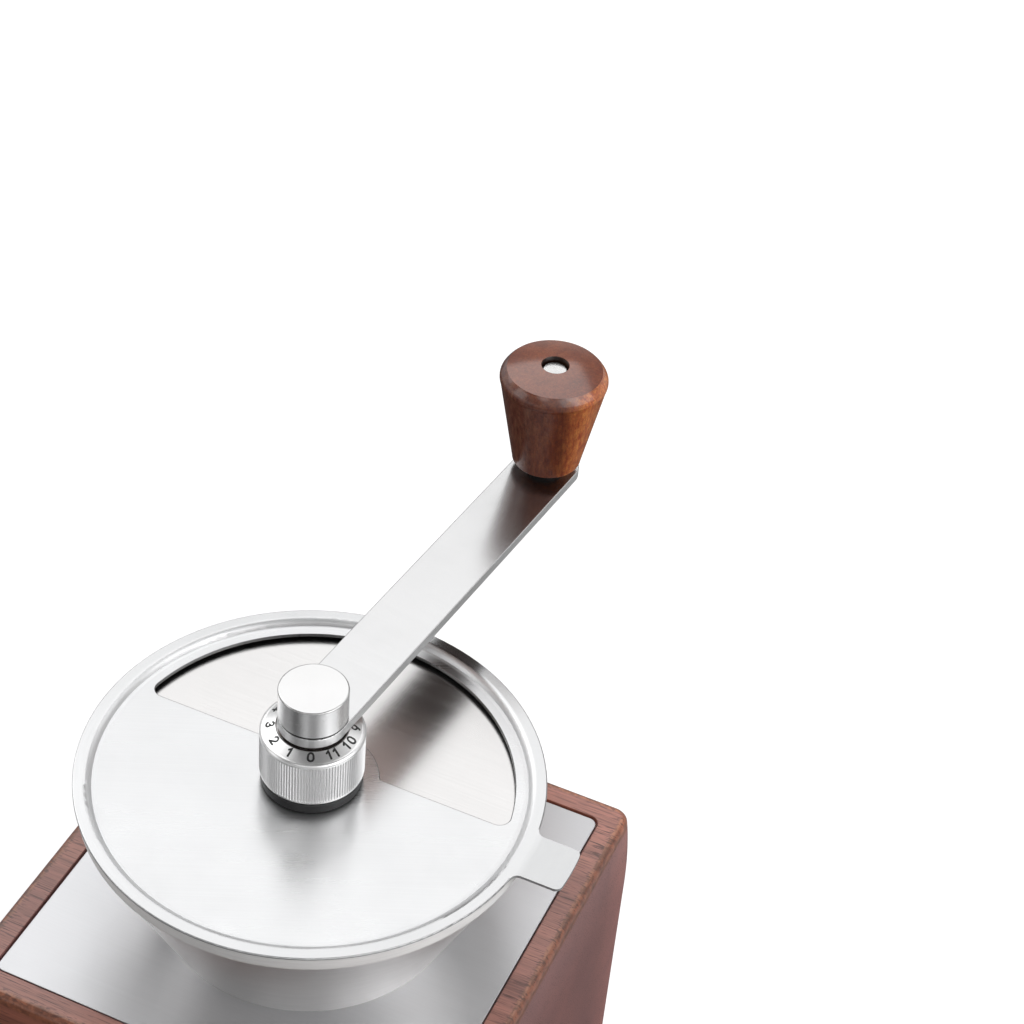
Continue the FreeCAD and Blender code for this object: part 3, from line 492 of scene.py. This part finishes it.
mats = {
    # walnut: painted light on the up faces (top) and on the back rim (streak), and a painted sheen on the X sides
    "walnut": wood("walnut", ALONG_X, rough=0.46, coat=0.75, coat_rough=0.28, spec=0.3, edge=(0.305, 0.106, 0.054), top=(1.36, 1.70, 2.0), pore_from=0.552, end_grain_and_sheen=(0.34, 0.167, 0.167), streak=((0.0, 0.0, 0.0), (0.0, 1.0, 0.0), 0.045, 0.062, (1.0, 1.0, 1.0), (1.45, 1.4, 1.35), None), **WALNUT),
    "walnut_drawer": wood("walnut_drawer", ALONG_X, rough=0.46, coat=0.75, coat_rough=0.28, seed=2.3, **WALNUT),
    # knob: the streak paints one side paler and orange and the top lighter, the other side darker with a painted grey
    # sheen
    "walnut_knob": wood("walnut_knob", (0.0, math.radians(90), math.radians(8)), rough=0.36, coat=1.0, coat_rough=0.15, spec=0.45, coat_ior=1.65, seed=5.1, pore_dark=0.8, pore_len=420.0, pore_wide=3600.0, pore_from=0.62, line=0.35, speck=0.16, mottle=0.26, side_coat=0.30, painted_sheen=(-0.0095, -0.002, (0.95, 1.35, 2.9)), bore=(0.0119, 0.1152, 0.0037), streak=((0.0119, 0.1152, 0.0), (0.89, 0.45, 0.0), 0.0005, 0.0085, (1.06, 0.92, 0.68), (4.45, 5.2, 3.5), (1.58, 1.5, 1.42)), **KNOBWOOD),
    # drawer knob: the streak paints one side paler in the same way
    "walnut_small": wood("walnut_small", ALONG_Y, rough=0.40, coat=1.0, coat_rough=0.22, spec=0.5, coat_ior=1.75, seed=7.7, pore_dark=0.8, pore_len=420.0, pore_wide=3600.0, pore_from=0.62, line=0.35, speck=0.28, streak=((0.0, 0.0, 0.0), (1.0, 0.0, 0.0), -0.004, 0.009, (1.35, 1.35, 1.5), (3.4, 3.8, 3.8), None), **KNOBWOOD),
    "plywood_x": plain_wood("plywood_x", ALONG_X, (0.60, 0.43, 0.27), (0.47, 0.31, 0.18)),
    "plywood_y": plain_wood("plywood_y", ALONG_Y, (0.60, 0.43, 0.27), (0.47, 0.31, 0.18), 1.7),
    "lid": brushed_lid(),
    "cover": brushed_plate("brushed_cover", 0.0, (0.598, 0.59, 0.586), 0.24, 4.0, aniso=0.2, bump=0.03),
    "plate": brushed_plate("brushed_plate", 0.0, (0.575, 0.577, 0.59), 0.34, 8.0, aniso=0.3, bump=0.02, tint=0.035, spread=0.025),
    "arm": brushed_plate("brushed_arm", -5.9, (0.578, 0.578, 0.581), 0.22, 12.0, under=(0.82, 0.67, 0.63), aniso=0.65, bump=0.014, tint=0.04, spread=0.016, edge=0.22),
    "hopper": spun("spun_hopper", (0.87, 0.86, 0.853), 0.34, band=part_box("hopper")[1].z - 0.0042),
    "ring": satin("satin_ring", (0.90, 0.897, 0.897), 0.33),
    # the cap's foot carries a painted shadow line where it meets the arm
    "cap": satin("satin_cap", (0.635, 0.632, 0.632), 0.25, ARM_TOP + 0.00055),
    "turned": turned("turned_steel", (0.66, 0.655, 0.65), 0.26),
    "zinc": plated("zinc_plate", (0.66, 0.67, 0.69), 0.36),
    "spring": plated("spring_wire", (0.45, 0.45, 0.46), 0.32, 2500.0),
    "burr": plated("burr_steel", (0.36, 0.36, 0.37), 0.34, 1800.0),
    "cast": plated("cast_metal", (0.58, 0.58, 0.59), 0.50, 900.0, 0.06),
    "bronze": plated("bearing_bronze", (0.60, 0.40, 0.19), 0.42, 2200.0),
    "nickel": plated("nickel_coat", (0.62, 0.60, 0.56), 0.22, 700.0, 0.04),
    "plastic": moulded("black_plastic", (0.012, 0.012, 0.013), 0.5, 2600.0, 0.00003),
    "rubber": moulded("black_rubber", (0.028, 0.028, 0.028), 0.75, 1400.0, 0.00008, 0.3),
}

use = {
    "walnut": ["wood_body"],
    "walnut_drawer": ["drawer_front"],
    "walnut_knob": ["crank_knob"],
    "walnut_small": ["drawer_knob"],
    "plywood_x": ["bottom_board", "drawer_back", "drawer_bottom"],
    "plywood_y": ["drawer_guides", "drawer_sides"],
    "lid": ["lid"],
    "cover": ["hopper_cover"],
    "plate": ["top_plate"],
    "arm": ["crank_arm"],
    "hopper": ["hopper"],
    "ring": ["adjuster_ring"],
    "cap": ["cap_nut"],
    "turned": ["bearing_sleeve", "sleeve_rivets", "index_washer", "crank_shaft", "housing_screws", "knob_screw"],
    "zinc": ["bottom_screws", "drawer_screw", "strike_plate", "burr_nut", "grub_screws", "housing_nuts", "bridge_screws", "spring_washer"],
    "spring": ["shaft_spring", "retaining_clip"],
    "burr": ["outer_burr", "inner_burr"],
    "cast": ["burr_housing", "lower_bridge"],
    "bronze": ["upper_bush", "thrust_washer", "lower_bush"],
    "nickel": ["drawer_magnet"],
    "plastic": ["lid_collar", "knob_spacer"],
    "rubber": ["base_pad"],
}
done = set()
for key, names in use.items():
    for n in names:
        o = nodes[n]
        o.data.materials.clear()
        o.data.materials.append(mats[key])
        done.add(n)
left = sorted(set(nodes) - done)
if left:
    raise RuntimeError("no material for " + ", ".join(left))


# ------------------------------------------------------------------ the shaft's spring
# a welded copy of the shaft's spring takes the place of the hidden original
coil_mesh = nodes["shaft_spring"].data.copy()
bm = bmesh.new()
bm.from_mesh(coil_mesh)
bmesh.ops.remove_doubles(bm, verts=bm.verts, dist=1e-6)
bm.to_mesh(coil_mesh)
bm.free()
coil_mesh.name = "spring_coil"
coil = bpy.data.objects.new("spring_coil", coil_mesh)
scene.collection.objects.link(coil)
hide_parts("shaft_spring")
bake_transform(coil)


# ------------------------------------------------------------------ dial numerals
def arc_pts(cx, cy, rx, ry, a0, a1, n):
    return [(cx + rx * math.cos(math.radians(a0 + (a1 - a0) * i / n)), cy + ry * math.sin(math.radians(a0 + (a1 - a0) * i / n))) for i in range(n + 1)]


def seg(p, q, n=6):
    return [(p[0] + (q[0] - p[0]) * i / n, p[1] + (q[1] - p[1]) * i / n) for i in range(n + 1)]


FIG_W = 0.72                                  # a figure's width over its height


# strokes of each figure on a grid FIG_W wide and 1 high, left to right and bottom to top, with the centre lines inset by half a stroke
def figure(ch):
    w, h, s = FIG_W, 1.0, 0.105
    l, r, b, t, c = s, w - s, s, h - s, w / 2
    rx = (r - l) / 2
    if ch == "0":
        k = 0.30
        return [arc_pts(c, t - k, rx, k, 180, 0, 14) + seg((r, t - k), (r, b + k))[1:] + arc_pts(c, b + k, rx, k, 0, -180, 14)[1:] + seg((l, b + k), (l, t - k))[1:]]
    if ch == "1":
        return [seg((c - 0.17, t - 0.19), (c + 0.06, t)) + seg((c + 0.06, t), (c + 0.06, b), 10)[1:]]
    if ch == "2":
        return [arc_pts(c, t - 0.25, rx, 0.25, 165, -35, 16) + seg((c + rx * math.cos(math.radians(-35)), t - 0.25 + 0.25 * math.sin(math.radians(-35))), (l, b), 8)[1:] + seg((l, b), (r + 0.01, b))[1:]]
    if ch == "3":
        return [arc_pts(c - 0.01, t - 0.215, rx - 0.02, 0.215, 160, -90, 16) + arc_pts(c - 0.01, b + 0.225, rx, 0.20, 90, -160, 16)[1:]]
    if ch == "4":
        return [seg((c + 0.10, t), (l - 0.01, b + 0.24), 8) + seg((l - 0.01, b + 0.24), (r + 0.03, b + 0.24), 8)[1:], seg((c + 0.10, b + 0.44), (c + 0.10, b), 6)]
    if ch == "5":
        return [seg((r - 0.02, t), (l + 0.05, t)) + seg((l + 0.05, t), (l + 0.01, b + 0.43))[1:] + arc_pts(c - 0.01, b + 0.265, rx, 0.265, 128, -155, 18)]
    if ch == "6":
        return [seg((c + 0.10, t), (l + 0.03, b + 0.36), 8) + arc_pts(c, b + 0.255, rx, 0.255, 160, -200, 22)]
    if ch == "7":
        return [seg((l, t), (r, t)) + seg((r, t), (c - 0.09, b), 9)[1:]]
    if ch == "8":
        return [arc_pts(c, t - 0.2, rx - 0.03, 0.2, -90, 270, 20), arc_pts(c, b + 0.225, rx, 0.225, 90, 450, 20)]
    if ch == "9":
        return [seg((c - 0.10, b), (r - 0.03, t - 0.36), 8) + arc_pts(c, t - 0.255, rx, 0.255, -20, 340, 22)]
    raise ValueError(ch)


ring_lo, ring_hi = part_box("adjuster_ring")
RING_TOP = ring_hi.z / MM
SHOULDER_R, SHOULDER_Z = 12.1, RING_TOP - 1.1
CREST_R, CREST_Z = 9.2, RING_TOP
SLANT = math.hypot(SHOULDER_R - CREST_R, CREST_Z - SHOULDER_Z)
FIG_H = 2.68                                  # figure height along the slope
FIG_FOOT = 0.38                               # from the shoulder up the slope to the figures' feet
STROKE = 0.52


def on_cone(u, v, angle, lift):
    """A point u to the right and v up a figure whose middle is at that angle, lift above the slope, in metres."""
    slope_r = (CREST_R - SHOULDER_R) / SLANT
    slope_z = (CREST_Z - SHOULDER_Z) / SLANT
    d = FIG_FOOT + v
    r = SHOULDER_R + slope_r * d
    z = SHOULDER_Z + slope_z * d
    # the slope's outward normal
    r += lift * slope_z
    z -= lift * slope_r
    mid_r = SHOULDER_R + slope_r * (FIG_FOOT + FIG_H / 2)
    a = angle + u / mid_r
    return Vector((r * math.cos(a) * MM, r * math.sin(a) * MM, z * MM))


def stroke_mesh(verts, faces, path, angle, width, top, bottom):
    """A ribbon with round ends along a path of (u, v) in mm, as a thin closed solid on the slope."""
    pts = [Vector(p) for p in path]
    clean = [pts[0]]
    for p in pts[1:]:
        if (p - clean[-1]).length > 1e-4:
            clean.append(p)
    closed = (clean[0] - clean[-1]).length < 0.03
    if closed:
        clean = clean[:-1]
    n = len(clean)
    rows = []
    for i, p in enumerate(clean):
        a = clean[(i - 1) % n] if closed or i > 0 else None
        b = clean[(i + 1) % n] if closed or i < n - 1 else None
        d1 = (p - a).normalized() if a is not None else None
        d2 = (b - p).normalized() if b is not None else None
        if d1 is None:
            d, k = d2, 1.0
        elif d2 is None:
            d, k = d1, 1.0
        else:
            d = (d1 + d2).normalized()
            k = 1.0 / max(0.55, d.dot(d1))
        side = Vector((-d.y, d.x)) * (width / 2)
        rows.append((p, side * k, d))
    sections = []
    if not closed:
        p, side, d = rows[0]
        for j in range(5):
            t = math.radians(90 * (1 - (j + 0.35) / 5))
            sections.append((p - d * (width / 2) * math.sin(t), side * math.cos(t)))
    sections += [(p, side) for p, side, d in rows]
    if not closed:
        p, side, d = rows[-1]
        for j in range(5):
            t = math.radians(90 * ((j + 1) / 5.3))
            sections.append((p + d * (width / 2) * math.sin(t), side * math.cos(t)))
    start = len(verts)
    for p, side in sections:
        for f, lift in ((1, top), (0, top), (-1, top), (-1, bottom), (1, bottom)):
            q = p + side * f
            verts.append(on_cone(q.x, q.y, angle, lift))
    m = len(sections)
    last = m if closed else m - 1
    for i in range(last):
        a, b = start + 5 * i, start + 5 * ((i + 1) % m)
        for j in range(5):
            k = (j + 1) % 5
            faces.append((a + j, a + k, b + k, b + j))
    if not closed:
        faces.append(tuple(start + j for j in reversed(range(5))))
        faces.append(tuple(start + 5 * (m - 1) + j for j in range(5)))


ink = Mat("dial_ink")
_g = ink.noise(ink.obj(), 3000.0, 3.0, 0.6)
ink.set("Base Color", ink.mix(ink.range(_g, 0.3, 0.7, 0.0, 1.0), (0.008, 0.008, 0.009, 1), (0.022, 0.021, 0.021, 1)))
ink.set("Roughness", ink.range(_g, 0.3, 0.7, 0.38, 0.55))
ink.set("Normal", ink.bump(_g, 0.15, 0.00001))

ZERO_AT = -65.2
for number in range(12):
    angle = math.radians(ZERO_AT - 30.0 * number)
    text = str(number)
    step = 1.9 if text == "11" else 2.25
    total = step * (len(text) - 1)
    verts, faces = [], []
    for i, ch in enumerate(text):
        shift = -total / 2 + i * step
        for path in figure(ch):
            stroke_mesh(verts, faces, [((u - FIG_W / 2) * FIG_H + shift, v * FIG_H) for u, v in path], angle, STROKE, 0.022, -0.03)
    me = bpy.data.meshes.new("dial_figure_%d" % number)
    me.from_pydata([tuple(v) for v in verts], [], faces)
    me.update()
    me.materials.append(ink.m)
    ob = bpy.data.objects.new("dial_figure_%d" % number, me)
    scene.collection.objects.link(ob)
    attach(ob, "adjuster")


# ------------------------------------------------------------------ floor, light and camera
floor_mesh = bpy.data.meshes.new("floor")
S = 6.0
floor_mesh.from_pydata([(-S, -S, 0), (S, -S, 0), (S, S, 0), (-S, S, 0)], [], [(0, 1, 2, 3)])
floor = bpy.data.objects.new("floor", floor_mesh)
scene.collection.objects.link(floor)
fm = Mat("pale_floor")
_f = fm.noise(fm.obj(), 14.0, 3.0, 0.5)
fm.set("Base Color", fm.mix(fm.range(_f, 0.3, 0.7, 0.0, 1.0), (0.40, 0.40, 0.405, 1), (0.43, 0.43, 0.43, 1)))
fm.set("Roughness", 0.75)
fm.set("Specular IOR Level", 0.2)
fm.set("Emission Color", (1, 1, 1, 1))
fm.set("Emission Strength", 0.76)
floor_mesh.materials.append(fm.m)
floor.visible_diffuse = False
floor.visible_glossy = False

LID = Vector((0.0, 0.0, 0.157))


def softbox(name, direction, distance, width, height, radiance, aim=LID, color=(1, 1, 1), spread=180):
    d = Vector(direction).normalized()
    light = bpy.data.lights.new(name, "AREA")
    light.shape = "RECTANGLE"
    light.size, light.size_y = width, height
    light.energy = radiance * math.pi * width * height
    light.color = color
    light.spread = math.radians(spread)
    ob = bpy.data.objects.new(name, light)
    ob.location = aim + d * distance
    ob.rotation_mode = "QUATERNION"
    ob.rotation_quaternion = d.to_track_quat("Z", "Y")
    ob.visible_camera = False
    scene.collection.objects.link(ob)
    return ob


softbox("back_box", (-0.379, 0.445, 0.830), 1.1, 1.2, 0.85, 1.5)
softbox("left_box", (-0.80, 0.22, 0.56), 1.4, 0.9, 0.9, 1.15)
softbox("back_right_box", (0.42, 0.66, 0.62), 1.4, 0.7, 0.7, 1.1)
softbox("right_box", (0.82, 0.05, 0.56), 1.3, 1.0, 1.1, 1.9)
softbox("front_box", (0.36, -0.66, 0.66), 1.6, 1.4, 0.85, 0.6)
softbox("front_top_box", (-0.03, -0.63, 0.775), 1.6, 0.55, 0.40, 1.2)
softbox("front_right_box", (0.74, -0.34, 0.58), 1.5, 0.9, 0.9, 1.25)
softbox("front_left_box", (-0.79, -0.57, 0.48), 1.5, 0.6, 0.8, 1.3)

world = bpy.data.worlds.new("studio")
scene.world = world
world.use_nodes = True
wn = world.node_tree
wn.nodes.clear()
wo = wn.nodes.new("ShaderNodeOutputWorld")
wb = wn.nodes.new("ShaderNodeBackground")
# pale near the horizon, dimmer overhead and below
wt = wn.nodes.new("ShaderNodeTexCoord")
ws = wn.nodes.new("ShaderNodeSeparateXYZ")
wr = wn.nodes.new("ShaderNodeValToRGB")
wr.color_ramp.interpolation = "EASE"
while len(wr.color_ramp.elements) < 4:
    wr.color_ramp.elements.new(0.5)
for e, (at, value) in zip(wr.color_ramp.elements, ((0.36, 0.0), (0.45, 0.62), (0.55, 0.62), (0.74, 0.14))):
    e.position = at
    e.color = (value, value, value, 1.0)
wm = wn.nodes.new("ShaderNodeMath")
wm.operation = "MULTIPLY_ADD"
wm.inputs[1].default_value = 0.5
wm.inputs[2].default_value = 0.5
wn.links.new(wt.outputs["Generated"], ws.inputs[0])
wn.links.new(ws.outputs["Z"], wm.inputs[0])
wn.links.new(wm.outputs[0], wr.inputs[0])
# what the surfaces see in place of the floor: dim on the left, paler on the right
wl = wn.nodes.new("ShaderNodeMapRange")
wl.interpolation_type = "SMOOTHSTEP"
wl.inputs["From Min"].default_value, wl.inputs["From Max"].default_value = 0.05, 0.55
wl.inputs["To Min"].default_value, wl.inputs["To Max"].default_value = 0.09, 0.50
wd = wn.nodes.new("ShaderNodeMapRange")
wd.inputs["From Min"].default_value, wd.inputs["From Max"].default_value = -0.28, -0.10
wd.inputs["To Min"].default_value, wd.inputs["To Max"].default_value = 1.0, 0.0
we = wn.nodes.new("ShaderNodeMapRange")
we.inputs["From Min"].default_value, we.inputs["From Max"].default_value = -0.80, -0.62
we.inputs["To Min"].default_value, we.inputs["To Max"].default_value = 0.12, 1.0
wf = wn.nodes.new("ShaderNodeMath")
wf.operation = "MULTIPLY"
wn.links.new(ws.outputs["Z"], we.inputs["Value"])
wn.links.new(wd.outputs[0], wf.inputs[0])
wn.links.new(we.outputs[0], wf.inputs[1])
wk = wn.nodes.new("ShaderNodeMath")
wk.operation = "MULTIPLY_ADD"
wn.links.new(ws.outputs["X"], wl.inputs["Value"])
wn.links.new(ws.outputs["Z"], wd.inputs["Value"])
wn.links.new(wl.outputs[0], wk.inputs[0])
wn.links.new(wf.outputs[0], wk.inputs[1])
wn.links.new(wr.outputs[0], wk.inputs[2])
wn.links.new(wk.outputs[0], wb.inputs["Color"])
wb.inputs["Strength"].default_value = 1.0
wn.links.new(wb.outputs[0], wo.inputs["Surface"])

cam = bpy.data.cameras.new("camera")
cam.sensor_fit = "AUTO"
cam.sensor_width = 36.0
cam.lens = 84.6604
cam.clip_start, cam.clip_end = 0.01, 50.0
cam_ob = bpy.data.objects.new("camera", cam)
right = Vector((0.9108377, 0.4067071, 0.0704561))
up = Vector((-0.3143562, 0.5728817, 0.7569589))
back = Vector((0.2674976, -0.7116150, 0.6496531))
cam_ob.matrix_world = Matrix((
    (right.x, up.x, back.x, 0.1858882),
    (right.y, up.y, back.y, -0.3702079),
    (right.z, up.z, back.z, 0.6000947),
    (0, 0, 0, 1)))
scene.collection.objects.link(cam_ob)
scene.camera = cam_ob

scene.view_settings.view_transform = "Standard"
scene.view_settings.look = "None"
scene.view_settings.exposure = 0.0
scene.view_settings.gamma = 1.0
